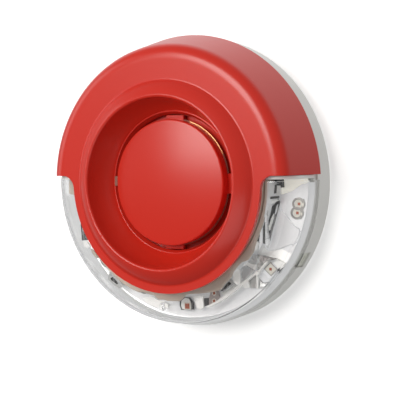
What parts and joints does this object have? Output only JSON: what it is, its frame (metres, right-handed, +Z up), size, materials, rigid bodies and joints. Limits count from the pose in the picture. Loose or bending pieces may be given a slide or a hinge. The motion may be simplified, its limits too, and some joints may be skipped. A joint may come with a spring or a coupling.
{
  "type": "horn strobe",
  "caption": "Round wall-mounted fire-alarm sounder beacon: red hood with a ring-shaped horn and centre disc, clear lower lens over LEDs in a chrome reflector, twist-off on a white base.",
  "frame": {"origin": "centre of the rear mounting face, in the wall plane", "axes": "+Y into the wall, so the horn faces -Y; +Z up; +X to the right seen from the front"},
  "size_m": [0.1336, 0.0421, 0.1333],
  "materials": {
    "base_white": "fine satin moulding",
    "grommet_rubber": "matte",
    "terminal_grey": "moulded",
    "plated_steel": "zinc plated",
    "contact_brass": "tinned brass",
    "catch_plastic": "moulded",
    "chassis_white": "fine satin moulding",
    "seal_foam": "closed-cell foam",
    "board_green": "solder mask",
    "capacitor_sleeve": "shrink sleeve",
    "ferrite": "sintered ferrite",
    "copper_winding": "enamelled copper wire",
    "black_moulding": "epoxy moulding",
    "ceramic_chips": "ceramic",
    "switch_red": "moulded",
    "board_white": "white solder mask",
    "led_ceramic": "LED housing",
    "led_die": "orange-red chip under clear resin",
    "reflector_chrome": "vacuum-metallised plastic",
    "clear_pc": "polished clear plastic",
    "ring_grey": "moulded",
    "cover_red": "satin moulded plastic",
    "piezo_white": "fired ceramic",
    "lever_white": "moulded"
  },
  "bodies": {
    "base": {"mounting_base": "base_white", "cable_grommet": "grommet_rubber", "terminal_block": "terminal_grey", "terminal_screws": "plated_steel", "terminal_clamps": "plated_steel", "contact_springs": "contact_brass"},
    "catch": {"locking_catch": "catch_plastic"},
    "head": {"head_chassis": "chassis_white", "dust_seal": "seal_foam", "contact_pads": "contact_brass", "main_board": "board_green", "board_screws": "plated_steel", "capacitors": "capacitor_sleeve", "transformer_core": "ferrite", "transformer_winding": "copper_winding", "ic_packages": "black_moulding", "chip_components": "ceramic_chips", "board_connector": "black_moulding", "dip_switch_body": "switch_red", "led_board": "board_white", "led_packages": "led_ceramic", "led_dies": "led_die", "reflector": "reflector_chrome", "light_pipe": "clear_pc", "clear_lens": "clear_pc", "chamber_ring": "ring_grey", "red_cover": "cover_red", "cover_screws": "plated_steel", "horn_disc": "cover_red", "sounder_housing": "black_moulding", "piezo_diaphragm": "contact_brass", "piezo_ceramic": "piezo_white", "diaphragm_gasket": "seal_foam", "sounder_contacts": "contact_brass"},
    "lever_1": {"dip_lever_1": "lever_white"},
    "lever_2": {"dip_lever_2": "lever_white"},
    "lever_3": {"dip_lever_3": "lever_white"},
    "lever_4": {"dip_lever_4": "lever_white"}
  },
  "joints": [
    {"name": "head_twist", "type": "hinge", "parent": "base", "child": "head", "pos_m": [0, 0, 0], "axis": [0, 1, 0], "range_deg": [-15, 0]},
    {"name": "catch_press", "type": "slide", "parent": "base", "child": "catch", "axis": [-0.848, 0, 0.5299], "range_m": [0, 0.0014], "stiffness_N_per_m": 300},
    {"name": "switch_1", "type": "slide", "parent": "head", "child": "lever_1", "axis": [0, 0, 1], "range_m": [0, 0.0016]},
    {"name": "switch_2", "type": "slide", "parent": "head", "child": "lever_2", "axis": [0, 0, 1], "range_m": [0, 0.0016]},
    {"name": "switch_3", "type": "slide", "parent": "head", "child": "lever_3", "axis": [0, 0, 1], "range_m": [0, 0.0016]},
    {"name": "switch_4", "type": "slide", "parent": "head", "child": "lever_4", "axis": [0, 0, 1], "range_m": [0, 0.0016]}
  ]
}
